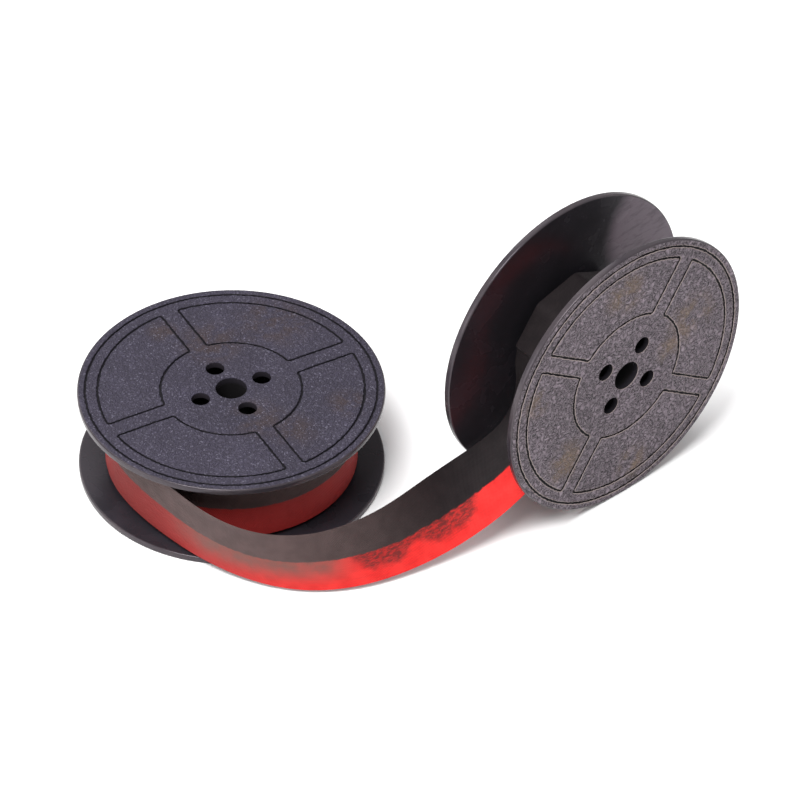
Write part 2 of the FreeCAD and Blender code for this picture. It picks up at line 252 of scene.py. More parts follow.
def wrinkled(name, base, painted_crease_shade, dust, dust_spots, painted_glint, fineness, depth):
    """The flanges' outer faces: a wrinkled grain with painted shade in its creases, pale specks that are painted
    glints, and brown dust on some spots.
    """
    finish = Finish(name)
    point = finish.millimetres()
    wrinkle = finish.noise(point, fineness, detail=1.0, roughness=0.5, distortion=0.7)
    from_crease = finish.distance(wrinkle, 0.5)
    raised = finish.step(from_crease, 0.0, 0.20)
    fine = finish.noise(point, FINE_GRAIN, detail=1.0)

    # painted shade: the grain's creases are darkened to stand for the shade that falls in them
    colour = finish.mix(finish.step(from_crease, 0.0, 0.07), painted_crease_shade, base)
    broad = finish.noise(point, 0.09, detail=3.0, roughness=0.6)
    colour = finish.shaded(colour, finish.step(broad, 0.35, 0.70, 0.90, 1.10))
    uneven = finish.noise(point, 0.30, detail=4.0, roughness=0.65)
    powder = finish.product(finish.spots(point, dust_spots), finish.step(uneven, 0.36, 0.60))
    powder = finish.product(powder, finish.step(fine, 0.3, 0.6, 0.45, 0.9))
    colour = finish.mix(powder, colour, dust)
    # painted highlight: pale specks scattered over the face stand for glints of light on the grain
    glint = finish.step(finish.grains(point, PAINTED_GLINT_GRAIN), 0.90, 0.99)
    colour = finish.mix(finish.product(glint, 0.40), colour, painted_glint)

    finish.set(Base_Color=colour, Specular_IOR_Level=OUTER_SHINE, Specular_Tint=SHINE_TINT)
    finish.set(Roughness=finish.step(fine, 0.3, 0.7, 0.62, 0.48))
    height = finish.sum(finish.product(raised, 0.9), finish.product(fine, 0.1))
    finish.bump(height, depth)
    return finish.material


def smooth_plastic(name, base, haze, roughness, painted_reflection_spots=(), shine=INNER_SHINE):
    """Glossy moulded plastic with fine scratches, and a painted reflection, paler in streaks, on the given spots.
    """
    finish = Finish(name)
    smudge = finish.noise(finish.millimetres(), 0.13, detail=3.0, roughness=0.5, distortion=0.3)
    scratches = 0.0
    for turn, finer in SCRATCHES:
        point = finish.millimetres((0.25, 4.5 * finer, 4.5 * finer), turn)
        line = finish.step(finish.noise(point, 1.0, detail=1.0), 0.70, 0.75)
        scratches = finish.sum(scratches, line)
    worn = finish.product(scratches, finish.step(smudge, 0.40, 0.70))

    colour = finish.mix(finish.step(smudge, 0.35, 0.75, 0.0, 0.4), base, haze)
    colour = finish.mix(finish.product(worn, 0.12), colour, haze)
    # painted reflection: the given spots are paled in streaks to stand for light reflected in the glossy face
    if painted_reflection_spots:
        painted_reflection = finish.spots(finish.millimetres(), painted_reflection_spots, heart=0.7)
        point = finish.millimetres((0.5, 0.5, 1.6), 0.8)
        streaks = finish.noise(point, 0.6, detail=4.0, roughness=0.7)
        painted_reflection = finish.product(painted_reflection, finish.step(streaks, 0.30, 0.55, 0.6, 1.0))
        colour = finish.mix(painted_reflection, colour, PAINTED_REFLECTION_COLOUR)

    finish.set(Base_Color=colour, Specular_IOR_Level=shine, Specular_Tint=SHINE_TINT)
    rough = finish.step(smudge, 0.3, 0.75, roughness, roughness + 0.08)
    finish.set(Roughness=finish.sum(rough, finish.product(worn, 0.08)))
    orange_peel = finish.noise(finish.millimetres(), 0.55, detail=2.0)
    height = finish.sum(finish.product(orange_peel, 0.6), finish.product(worn, -0.1))
    finish.bump(height, ORANGE_PEEL_DEPTH)
    return finish.material


def brass(name):
    """The eyelets' pressed brass, tarnished a little."""
    finish = Finish(name)
    tarnish = finish.noise(finish.millimetres(), 1.4, detail=4.0, roughness=0.6)
    dulled = finish.step(tarnish, 0.4, 0.7)
    finish.set(Base_Color=finish.mix(dulled, (0.60, 0.42, 0.17, 1), (0.30, 0.20, 0.09, 1)))
    finish.set(Metallic=1.0, Roughness=finish.step(tarnish, 0.3, 0.7, 0.28, 0.5))
    finish.bump(tarnish, TARNISH_DEPTH)
    return finish.material


# The ribbon's threads and inks, and the light and shade painted on it, in millimetres. Places along it count from
# where it leaves the supply pack; each pair is where a change starts and where it is complete.
WARP_PITCH = 0.36
WEFT_PITCH = 0.32
WEAVE_DEPTH = 0.05 * MM
BLACK_WIDENS = (48.0, 68.0)
BLACK_WIDENING = 0.75
SMEAR_STARTS = (18.0, 32.0)
SMEAR_ENDS = (50.0, 60.0)
SMUDGES = (((54.0, 61.0), (65.0, 71.0)), ((67.0, 73.0), (78.0, 86.0)))
BLACK_PAINTED_LIGHT_FADES = (40.0, 82.0)
RED_USE_AND_SHADE_DEEPEN = (-8.0, 6.0)
RED_USE_AND_SHADE_FADE = (15.0, 58.0)
# across the ribbon, from the border of the two inks: where the smear thins out towards the red
# edge, how far the smudges reach, and half the width that the border is blurred over
SMEAR_THICKENS = (-6.2, -1.0)
SMUDGE_REACH = 4.2
BORDER_BLUR = 0.16

# inks: the two tones that each one is mottled with; the paler brown-black is painted light on the black ink
LIT_BROWN_BLACK = ((0.092, 0.059, 0.057, 1), (0.072, 0.046, 0.044, 1))
DEEP_BLACK = ((0.013, 0.009, 0.010, 1), (0.009, 0.006, 0.007, 1))
BRIGHT_RED = ((0.78, 0.030, 0.026, 1), (0.66, 0.018, 0.016, 1))
# the red on the supply's outer turn and just outside it: ink dulled by use, and painted shade from the supply's
# flange, darkest just outside
USED_AND_SHADED_RED = ((0.36, 0.026, 0.024, 1), (0.215, 0.021, 0.019, 1))
SMEARED_INK = (0.150, 0.080, 0.066, 1)
SMUDGED_INK = (0.060, 0.016, 0.015, 1)


def inked_ribbon(name):
    """Woven ribbon, black above and red below, with smears where the two inks have met.

    Its UV map holds the place along the ribbon and across it, in metres: 0 along is where the
    ribbon leaves the supply pack, and 0 across is mid-width, positive towards the black edge.
    """
    finish = Finish(name)
    place = finish.scaled(finish.node("ShaderNodeUVMap", {}, uv_map="Ribbon"), 1 / MM, 1 / MM)
    split = finish.tree.nodes.new("ShaderNodeSeparateXYZ")
    finish.feed(split.inputs[0], place)
    along, across = split.outputs[0], split.outputs[1]

    warp = finish.sine(finish.product(across, FULL_TURN / WARP_PITCH))
    weft = finish.sine(finish.product(along, FULL_TURN / WEFT_PITCH))
    weave = finish.step(finish.product(warp, weft), -1.0, 1.0)
    threads = finish.noise(finish.scaled(place, 0.25, 5.0), 1.0, detail=2.0)
    mottle = finish.noise(place, 0.35, detail=3.0)
    mottled = finish.step(mottle, 0.3, 0.7)

    # how far a point is above the border of the two inks
    widening = finish.step(along, *BLACK_WIDENS, 0.0, BLACK_WIDENING)
    bleed = finish.sum(finish.product(finish.noise(place, 0.8, detail=3.0), 0.7), -0.35)
    above = finish.sum(finish.sum(across, widening), bleed)

    smear = finish.product(
        finish.band(along, SMEAR_STARTS, SMEAR_ENDS), finish.step(above, *SMEAR_THICKENS)
    )
    smear = finish.product(smear, finish.step(mottle, 0.3, 0.7, 0.74, 0.94))

    first, second = (finish.band(along, *ends) for ends in SMUDGES)
    reach = finish.product(finish.sum(first, second), SMUDGE_REACH)
    ragged = finish.product(finish.noise(place, 0.45, detail=3.0), 2.6)
    inside = finish.sum(finish.sum(above, ragged), finish.sum(reach, -1.1))
    dragged = finish.scaled(place, 0.9, 2.3)
    streaks = finish.noise(dragged, 1.0, detail=4.0, roughness=0.75, distortion=0.5)
    smudge = finish.product(finish.step(inside, 0.0, 2.2), finish.step(reach, 0.0, 2.4))
    smudge = finish.product(smudge, finish.step(streaks, 0.38, 0.60, 0.42, 0.86))

    # painted light: the black ink is paler and brownish where the ribbon leaves the supply, and deepens to
    # near-black towards the take-up
    lit_brown_black = finish.mix(mottled, *LIT_BROWN_BLACK)
    deep_black = finish.mix(mottled, *DEEP_BLACK)
    black = finish.mix(finish.step(along, *BLACK_PAINTED_LIGHT_FADES), lit_brown_black, deep_black)
    # painted shade: the red is darker on the supply's outer turn and darkest just outside it, partly used ink and
    # partly the supply flange's shade, then brightens along the ribbon
    used_and_shaded_red = finish.mix(finish.step(along, *RED_USE_AND_SHADE_DEEPEN), *USED_AND_SHADED_RED)
    bright_red = finish.mix(mottled, *BRIGHT_RED)
    red = finish.mix(finish.step(along, *RED_USE_AND_SHADE_FADE), used_and_shaded_red, bright_red)
    red = finish.mix(smear, red, SMEARED_INK)
    red = finish.mix(smudge, red, SMUDGED_INK)
    colour = finish.mix(finish.step(above, -BORDER_BLUR, BORDER_BLUR), red, black)
    shade = finish.product(
        finish.step(weave, 0.0, 1.0, 0.74, 1.08), finish.step(threads, 0.3, 0.7, 0.91, 1.06)
    )

    finish.set(Base_Color=finish.shaded(colour, shade))
    finish.set(Roughness=finish.step(threads, 0.3, 0.7, 0.55, 0.72))
    finish.set(Specular_IOR_Level=0.18, Sheen_Weight=0.04, Sheen_Roughness=0.4)
    finish.bump(finish.sum(finish.product(weave, 0.7), finish.product(threads, 0.3)), WEAVE_DEPTH)
    return finish.material


# ---------------------------------------------------------------- flanges

RIM_ROUNDING = 0.25 * MM
RIM_STEPS = 6
RIM_POINTS = 360
RIM_LINE_RADIUS = 25.6 * MM
SECTORS = 4
SECTOR_OUTER_RADIUS = 23.4 * MM
SECTOR_INNER_RADIUS = 12.4 * MM
HALF_SPOKE = 1.7 * MM
SECTOR_CORNER = 0.42 * MM
REGISTER_RADIUS = 10.1 * MM
REGISTER_WALL = 1.0 * MM
REGISTER_HEIGHT = 0.8 * MM
REGISTER_DRAFT = 0.04 * MM
POINT_SPACING = 0.32 * MM
FLANGE_CREASE_DEGREES = 28
# an engraved line's section, in millimetres: distance from its middle, and depth
LINE_DEPTH = 0.32
BEVEL_DEPTH = 0.07
LINE_SECTION = [
    (-0.31, 0.0),
    (-0.20, BEVEL_DEPTH),
    (-0.11, LINE_DEPTH),
    (0.11, LINE_DEPTH),
    (0.20, BEVEL_DEPTH),
    (0.31, 0.0),
]
LINE_RAGGEDNESS = 0.08 * MM
# a hole's edge, in millimetres: how far outside the hole's wall, and how far below the face
HOLE_EDGE = [(0.12, 0.0), (0.035, 0.035), (0.0, 0.12)]
HOLE_POINTS = {BORE_RADIUS: 72, DRIVE_HOLE_RADIUS: 48}
# the flanges' material slots
SLOT_OUTER, SLOT_INNER, SLOT_LINE, SLOT_RIM, SLOT_LINE_EDGE = range(5)


def arc(centre, radius, start, end, spacing=POINT_SPACING):
    """Points and outward normals along an arc, without its last point."""
    count = max(3, round(abs(end - start) * max(radius, spacing) / spacing))
    angles = np.linspace(start, end, count, endpoint=False)
    normals = np.column_stack((np.cos(angles), np.sin(angles)))
    return np.asarray(centre) + radius * normals, normals


def straight(start, end, normal):
    """Points and normals along a straight side, without its last point."""
    count = max(1, round(np.linalg.norm(np.subtract(end, start)) / POINT_SPACING))
    shares = np.linspace(0, 1, count, endpoint=False)[:, None]
    points = np.asarray(start) * (1 - shares) + np.asarray(end) * shares
    return points, np.tile(normal, (count, 1))


def circle(radius, count=None, centre=(0, 0)):
    """Points and outward normals of a circle."""
    spacing = FULL_TURN * radius / count if count else POINT_SPACING
    return arc(centre, radius, 0, FULL_TURN, spacing)


def sector_outline():
    """The quarter ring between the +X and +Y spokes, with rounded corners, anticlockwise."""
    edge = HALF_SPOKE + SECTOR_CORNER
    outer = SECTOR_OUTER_RADIUS - SECTOR_CORNER
    inner = SECTOR_INNER_RADIUS + SECTOR_CORNER
    outer_reach = math.sqrt(outer**2 - edge**2)
    inner_reach = math.sqrt(inner**2 - edge**2)
    outer_angle = math.asin(edge / outer)
    inner_angle = math.asin(edge / inner)
    fine = SECTOR_CORNER / 4
    runs = [
        straight((inner_reach, HALF_SPOKE), (outer_reach, HALF_SPOKE), (0, -1)),
        arc((outer_reach, edge), SECTOR_CORNER, -QUARTER, outer_angle, fine),
        arc((0, 0), SECTOR_OUTER_RADIUS, outer_angle, QUARTER - outer_angle),
        arc((edge, outer_reach), SECTOR_CORNER, QUARTER - outer_angle, math.pi, fine),
        straight((HALF_SPOKE, outer_reach), (HALF_SPOKE, inner_reach), (-1, 0)),
        arc((edge, inner_reach), SECTOR_CORNER, math.pi, 3 * QUARTER - inner_angle, fine),
    ]
    points, normals = arc((0, 0), SECTOR_INNER_RADIUS, QUARTER - inner_angle, inner_angle)
    runs.append((points, -normals))
    runs.append(arc((inner_reach, edge), SECTOR_CORNER, math.pi + inner_angle, 3 * QUARTER, fine))
    return np.vstack([run[0] for run in runs]), np.vstack([run[1] for run in runs])


def turned(vectors, angle):
    """Flat vectors turned about the origin."""
    cos, sin = math.cos(angle), math.sin(angle)
    return vectors @ np.array([[cos, sin], [-sin, cos]])


class Relief:
    """A face as a height for each point of some closed loops, joined up by triangles."""

    def __init__(self):
        self.points, self.heights, self.edges = [], [], []

    def loop(self, points, height):
        """Adds one closed loop at a height, and returns it as points in space."""
        first = len(self.points)
        count = len(points)
        self.points.extend(map(Vector, points))
        self.heights.extend([height] * count)
        self.edges.extend((first + i, first + (i + 1) % count) for i in range(count))
        return np.column_stack((points, np.full(count, height)))

    def line(self, outline, face_height, random):
        """Engraves a line along an outline, its upper edges a little ragged."""
        points, normals = outline
        for side in (-1, 1):
            ragged = random.uniform(-1, 1, len(points)) * LINE_RAGGEDNESS
            for offset, depth in LINE_SECTION:
                if offset * side > 0:
                    loose = ragged if depth < LINE_DEPTH else 0 * ragged
                    shift = (offset * MM + loose)[:, None]
                    self.loop(points + normals * shift, face_height - depth * MM)

    def triangles(self, holes):
        """The face's corners and triangles, leaving the holes (centre, radius) open."""
        made, _, faces, sources, _, _ = delaunay_2d_cdt(self.points, self.edges, [], 0, SAME_POINT / 10)
        heights = [self.heights[source[0]] for source in sources]
        corners = [(point.x, point.y, z) for point, z in zip(made, heights)]
        kept = []
        for face in faces:
            middle = sum((made[i] for i in face), Vector((0, 0))) / len(face)
            if all((middle - Vector(centre)).length > radius for centre, radius in holes):
                kept.append(tuple(face))
        return corners, kept


class Shell:
    """Corners and faces of a closed mesh, gathered piece by piece."""

    def __init__(self):
        self.corners, self.faces, self.slots = [], [], []

    def add(self, corners, faces, slot):
        """Adds faces over their own corners, with a material slot."""
        first = len(self.corners)
        self.corners.extend(map(tuple, corners))
        self.faces.extend(tuple(first + i for i in face) for face in faces)
        self.slots.extend([slot] * len(faces))

    def band(self, loops, slot):
        """Adds the bands between each loop and the next."""
        for one, other in zip(loops, loops[1:]):
            count = len(one)
            quads = [(i, (i + 1) % count, count + (i + 1) % count, count + i) for i in range(count)]
            self.add(np.vstack((one, other)), quads, slot)


def flange_holes():
    """Each hole's centre and radius."""
    holes = [((0, 0), BORE_RADIUS)]
    for i in range(DRIVE_HOLES):
        angle = FULL_TURN * i / DRIVE_HOLES
        centre = (DRIVE_CIRCLE_RADIUS * math.cos(angle), DRIVE_CIRCLE_RADIUS * math.sin(angle))
        holes.append((centre, DRIVE_HOLE_RADIUS))
    return holes


def rim_section():
    """The rim's section, from the outer face's edge to the inner face's: radii and heights."""
    angles = [QUARTER * i / RIM_STEPS for i in range(RIM_STEPS + 1)]
    for angle in angles:
        radius = FLANGE_RADIUS - RIM_ROUNDING * (1 - math.sin(angle))
        yield radius, FLANGE_THICKNESS - RIM_ROUNDING * (1 - math.cos(angle))
    for angle in angles:
        radius = FLANGE_RADIUS - RIM_ROUNDING * (1 - math.cos(angle))
        yield radius, RIM_ROUNDING * (1 - math.sin(angle))


def add_rim(shell, outer, inner):
    """The rim, and the edges of both faces."""
    edge, _ = circle(FLANGE_RADIUS - RIM_ROUNDING, RIM_POINTS)
    loops = [outer.loop(edge, FLANGE_THICKNESS)]
    for radius, height in rim_section():
        points, _ = circle(radius, RIM_POINTS)
        loops.append(np.column_stack((points, np.full(RIM_POINTS, height))))
    loops.append(inner.loop(edge, 0))
    shell.band(loops, SLOT_RIM)


def engrave(outer):
    """The line inside the rim, and the outline of each sector between the spokes."""
    random = np.random.default_rng(RANDOM_SEED)
    outer.line(circle(RIM_LINE_RADIUS), FLANGE_THICKNESS, random)
    points, normals = sector_outline()
    for i in range(SECTORS):
        angle = FULL_TURN * i / SECTORS
        outline = turned(points, angle), turned(normals, angle)
        outer.line(outline, FLANGE_THICKNESS, random)


def add_holes(shell, outer, inner, holes):
    """The holes' rounded edges on the outer face, and their walls."""
    for centre, radius in holes:
        count = HOLE_POINTS[radius]
        for outside, depth in HOLE_EDGE:
            points, _ = circle(radius + outside * MM, count, centre)
            upper = outer.loop(points, FLANGE_THICKNESS - depth * MM)
        points, _ = circle(radius, count, centre)
        shell.band([upper, inner.loop(points, 0)], SLOT_INNER)


def add_register_ring(inner):
    """The ring on the inner face that centres the flange in the barrel."""
    for radius, height in (
        (REGISTER_RADIUS, 0),
        (REGISTER_RADIUS - REGISTER_DRAFT, -REGISTER_HEIGHT),
        (REGISTER_RADIUS - REGISTER_WALL + REGISTER_DRAFT, -REGISTER_HEIGHT),
        (REGISTER_RADIUS - REGISTER_WALL, 0),
    ):
        points, _ = circle(radius)
        inner.loop(points, height)


def outer_slot(lowest):
    """The material slot of a face in the outer relief, from its lowest corner's height."""
    # faces at a line's full depth take the near-black line material, painted shade
    if lowest < FLANGE_THICKNESS - LINE_DEPTH * MM + SAME_POINT:
        return SLOT_LINE
    if lowest < FLANGE_THICKNESS - BEVEL_DEPTH * MM + SAME_POINT:
        return SLOT_LINE_EDGE
    return SLOT_OUTER


def flange_shell():
    """A flange, its inner face on the XY plane."""
    shell, outer, inner = Shell(), Relief(), Relief()
    holes = flange_holes()
    add_rim(shell, outer, inner)
    engrave(outer)
    add_holes(shell, outer, inner, holes)
    add_register_ring(inner)

    corners, faces = outer.triangles(holes)
    slots = [outer_slot(min(corners[i][2] for i in face)) for face in faces]
    for slot in (SLOT_OUTER, SLOT_LINE, SLOT_LINE_EDGE):
        shell.add(corners, [face for face, own in zip(faces, slots) if own == slot], slot)
    shell.add(*inner.triangles(holes), SLOT_INNER)
    return shell


def flanges(prefix, front, back, outer_material, inner_material, edge_material):
    """Both flanges of a spool, in place of the plain ones."""
    outwards = Matrix.Translation((0, 0, INNER_FACE))
    over = Matrix.Rotation(math.pi, 4, "X")
    for name, own in ((front, outwards), (back, over @ outwards)):
        node = f"{prefix}_{name}"
        mesh = bpy.data.meshes.new(f"{node}_moulding")
        mesh.from_pydata(FLANGE.corners, [], FLANGE.faces)
        mesh.polygons.foreach_set("material_index", FLANGE.slots)
        face_outwards(mesh, weld=SAME_POINT)
        mesh.transform(spool_matrix(prefix) @ own)
        smooth(mesh, FLANGE_CREASE_DEGREES)
        # in the order of the material slots
        for material in (outer_material, inner_material, LINE_PAINTED_SHADE, RIM, edge_material):
            mesh.materials.append(material)
        made = shown(f"{node}_moulding", mesh)
        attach(made, f"{prefix}_spool")
        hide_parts(node)


# Spots on the faces that are turned to the camera, in millimetres: how far to the right and up
# each one's centre is from the flange's axis, seen from outside the spool, and its radius. Up is +Y
# on the supply, and +Z on the take-up.
SUPPLY_DUST = [(-4, 12, 8), (5, -8, 7), (20.5, -3.5, 5), (11, -11, 6), (-12.5, 15, 4), (7, 18, 9)]
TAKEUP_DUST = [(-1, 19, 6), (15, 5, 7), (10, 1, 4), (-14, -12, 6), (2, -21, 5), (-21, 5, 4)]
# where a reflection is painted on the inside of the take-up's back flange
TAKEUP_PAINTED_REFLECTION = [(-22, 14, 14)]


def spots_on(prefix, flange, spots):
    """Each spot's centre, level with a flange's outer face, and its radius, in millimetres."""
    centre, axis = joint(f"{prefix}_spin")
    up = Vector((0, 1, 0)) if abs(axis.z) > 0.5 else Vector((0, 0, 1))
    outwards = (middle_of(f"{prefix}_{flange}") - centre).normalized()
    across = up.cross(outwards)
    face = centre + outwards * SPOOL_HEIGHT / 2
    return [((face + (across * x + up * y) * MM) / MM, radius) for x, y, radius in spots]


# ---------------------------------------------------------------- ribbon

RIBBON_THICKNESS = 0.10 * MM
RIBBON_CREASE_DEGREES = 40
WINDING_PITCH = 0.12 * MM
# each turn wanders along the axis by up to this, between a few random places
WINDING_DRIFT = 0.12 * MM
DRIFTS_PER_TURN = 2
SPARE_DRIFTS = 4
TURN_STEPS = 96
FREE_STEP = 0.5 * MM
FREE_DIVISIONS = 14
OUTER_TURN = FULL_TURN * 1.07
OUTER_TURN_STEP = math.radians(3)
OUTER_TURN_CLEARANCE = 0.07 * MM
# the take-up's last turn lies flat in places: the middles of its flats, as angles from the point
# where the free ribbon joins it, and half the angle that each flat spans
TAKEUP_FLATS = np.radians([45.0, 85.0, 125.0])
HALF_FLAT = math.radians(20.0)

# The free ribbon: the middle of its width in millimetres, then how far the black edge leans from
# upright and the compass angle that it leans towards, in degrees.
FREE_RIBBON = [
    (-21.6, -5.3, 9.1, 0, 270),
    (-17.9, -13.8, 9.1, 0, 270),
    (-11.2, -21.9, 8.7, 3, 270),
    (-4.0, -28.3, 8.0, 8, 270),
    (4.3, -32.7, 7.4, 8, 270),
    (13.6, -34.0, 7.2, 1, 270),
    (23.5, -31.3, 7.4, 13, 120),
    (31.6, -26.0, 7.6, 29, 132),
    (38.9, -19.8, 8.3, 50, 135),
    (46.0, -14.1, 10.4, 71, 132),
    (52.1, -9.7, 15.4, 87, 130),
    (54.0, -8.1, 24.9, 90, 132),
]


def unit(vectors):
    """Vectors at length 1."""
    return vectors / np.linalg.norm(vectors, axis=-1, keepdims=True)


def lengths_along(points):
    """How far along a line of points each of them is."""
    steps = np.linalg.norm(np.diff(points, axis=0), axis=1)
    return np.concatenate(([0], np.cumsum(steps)))


def spline(knots, values, first_slope, last_slope, places):
    """A smooth curve through values at knots, with these slopes at its ends, read at places."""
    gaps = np.diff(knots)
    count = len(knots)
    system = np.eye(count)
    wanted = np.zeros_like(values)
    wanted[0], wanted[-1] = first_slope, last_slope
    rises = np.diff(values, axis=0) / gaps[:, None]
    for i in range(1, count - 1):
        before, after = gaps[i - 1], gaps[i]
        system[i, i - 1 : i + 2] = after, 2 * (before + after), before
        wanted[i] = 3 * (after * rises[i - 1] + before * rises[i])
    slopes = np.linalg.solve(system, wanted)
    spans = np.clip(np.searchsorted(knots, places, side="right") - 1, 0, count - 2)
    gap = gaps[spans][:, None]
    t = (places - knots[spans])[:, None] / gap
    start, end = values[spans], values[spans + 1]
    leave, arrive = slopes[spans] * gap, slopes[spans + 1] * gap
    bend = (2 * t**3 - 3 * t**2) * (start - end)
    return start + bend + (t**3 - 2 * t**2 + t) * leave + (t**3 - t**2) * arrive


def wound(prefix, radii, angles, heights):
    """Points on a spool at these radii, angles in its own frame and heights along its axis."""
    local = np.column_stack((radii * np.cos(angles), radii * np.sin(angles), heights))
    matrix = np.array(spool_matrix(prefix))
    return local @ matrix[:3, :3].T + matrix[:3, 3]


def strip_faces(index, divisions):
    """The faces of a closed strip, from its corners' numbers: a row for each step along it."""
    # once round the section: along one face, then back along the other
    order = np.concatenate((np.arange(divisions + 1), np.arange(index.shape[1] - 1, divisions, -1)))
    around = index[:, order]
    following = np.roll(around, -1, axis=1)
    sides = np.stack((around[:-1], following[:-1], following[1:], around[1:]), axis=-1)
    faces = sides.reshape(-1, 4).tolist()
    for end in (0, -1):
        near, far = index[end, : divisions + 1], index[end, divisions + 1 :]
        caps = np.stack((near[:-1], near[1:], far[1:], far[:-1]), axis=-1)
        faces.extend(caps.tolist())
    return faces


def ribbon_strip(name, centres, towards_black, divisions, zero_at=0.0):
    """A ribbon as a thin closed strip along centres, with the place along and across as UV map."""
    lengths = lengths_along(centres) - zero_at
    ahead = unit(np.gradient(centres, axis=0))
    outwards = unit(np.cross(towards_black, ahead))
    widths = np.linspace(-RIBBON_WIDTH / 2, RIBBON_WIDTH / 2, divisions + 1)
    middle = centres[:, None] + widths[None, :, None] * towards_black[:, None]
    lift = outwards[:, None] * RIBBON_THICKNESS / 2
    corners = np.concatenate((middle + lift, middle - lift), axis=1)
    rows, columns = corners.shape[:2]
    index = np.arange(rows * columns).reshape(rows, columns)

    mesh = bpy.data.meshes.new(name)
    mesh.from_pydata(corners.reshape(-1, 3).tolist(), [], strip_faces(index, divisions))
    face_outwards(mesh)
    across = np.tile(np.concatenate((widths, widths)), rows)
    places = np.stack((np.repeat(lengths, columns), across), axis=-1)
    used = np.empty(len(mesh.loops), dtype=np.int32)
    mesh.loops.foreach_get("vertex_index", used)
    layer = mesh.uv_layers.new(name="Ribbon")
    layer.data.foreach_set("uv", places[used].astype(np.float32).ravel())
    smooth(mesh, RIBBON_CREASE_DEGREES)
    mesh.materials.append(RIBBON_MATERIAL)
    return shown(name, mesh), float(lengths[-1] - lengths[0])


def wound_pack(prefix, radius, black_side):
    """The ribbon wound on a hub, from the barrel out to a radius, turn by turn."""
    random = np.random.default_rng(RANDOM_SEED)
    start = BARREL_RADIUS + RIBBON_THICKNESS
    turns = (radius - RIBBON_THICKNESS / 2 - start) / WINDING_PITCH
    shares = np.linspace(0, 1, round(turns * TURN_STEPS) + 1)
    angles = FULL_TURN * turns * shares
    radii = start + WINDING_PITCH * turns * shares
    drift_count = round(turns) * DRIFTS_PER_TURN + SPARE_DRIFTS
    drifts = random.uniform(-1, 1, drift_count)
    drift = np.interp(shares, np.linspace(0, 1, drift_count), drifts) * WINDING_DRIFT
    centres = wound(prefix, radii, angles, drift)
    axis = np.array(joint(f"{prefix}_spin")[1])
    black = np.tile(axis * black_side, (len(centres), 1))
    pack, length = ribbon_strip(f"{prefix}_wound_ribbon", centres, black, 1)
    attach(pack, f"{prefix}_spool")
    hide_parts(f"{prefix}_ribbon_pack")
    return pack


def outer_turn(prefix, edge, pack_radius, flats=()):
    """The last turn on a pack, from the point where the free ribbon joins it, going inwards."""
    matrix = np.array(spool_matrix(prefix))
    local = (edge - matrix[:3, 3]) @ matrix[:3, :3]
    radius = math.hypot(local[0], local[1])
    start = math.atan2(local[1], local[0])
    turned_by = np.linspace(0, OUTER_TURN, round(OUTER_TURN / OUTER_TURN_STEP))[1:]
    innermost = pack_radius + OUTER_TURN_CLEARANCE + RIBBON_THICKNESS / 2
    radii = radius + (innermost - radius) * turned_by / OUTER_TURN
    for middle in flats:
        aside = np.abs(turned_by - middle)
        radii = np.where(aside < HALF_FLAT, radii / np.cos(np.minimum(aside, HALF_FLAT)), radii)
    # over the first quarter turn the ribbon settles to the middle of the spool's height
    unsettled = np.clip(1 - turned_by / QUARTER, 0, 1)
    heights = local[2] * unsettled**2 * (3 - 2 * unsettled)
    return wound(prefix, radii, start - turned_by, heights)


def free_ribbon(packs):
    """The ribbon between the packs, with the turn that lies outermost on each of them."""
    stations = np.array(FREE_RIBBON, float)
    centres = stations[:, :3] * MM
    lean, bearing = np.radians(stations[:, 3]), np.radians(stations[:, 4])
    level = np.column_stack((np.cos(bearing), np.sin(bearing)))
    black = np.column_stack((np.sin(lean)[:, None] * level, np.cos(lean)))
    knots = lengths_along(centres)

    supply_turn = outer_turn("supply", centres[0], SUPPLY_PACK_RADIUS)[::-1]
    takeup_turn = outer_turn("takeup", centres[-1], TAKEUP_PACK_RADIUS, TAKEUP_FLATS)
    leaving = unit(centres[0] - supply_turn[-1])
    arriving = unit(takeup_turn[0] - centres[-1])
    places = np.linspace(0, knots[-1], round(knots[-1] / FREE_STEP))
    span = spline(knots, centres, leaving, arriving, places)
    span_black = unit(spline(knots, black, np.zeros(3), np.zeros(3), places))

    whole = np.vstack((supply_turn, span, takeup_turn))
    supply_black = np.tile(black[0], (len(supply_turn), 1))
    takeup_black = np.tile(black[-1], (len(takeup_turn), 1))
    whole_black = np.vstack((supply_black, span_black, takeup_black))
    on_supply = lengths_along(whole)[len(supply_turn)]
    ribbon, length = ribbon_strip("ribbon_run", whole, whole_black, FREE_DIVISIONS, on_supply)
    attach(ribbon, "free_ribbon")
    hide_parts("free_ribbon")


# ---------------------------------------------------------------- build

SUPPLY_OUTER = wrinkled(
    "supply_wrinkle_texture",
    base=(0.039, 0.035, 0.055, 1),
    painted_crease_shade=(0.020, 0.018, 0.028, 1),
    dust=(0.041, 0.028, 0.028, 1),
    dust_spots=spots_on("supply", "upper_flange", SUPPLY_DUST),
    painted_glint=(0.20, 0.19, 0.25, 1),
    fineness=1.5,
    depth=0.16 * MM,
)
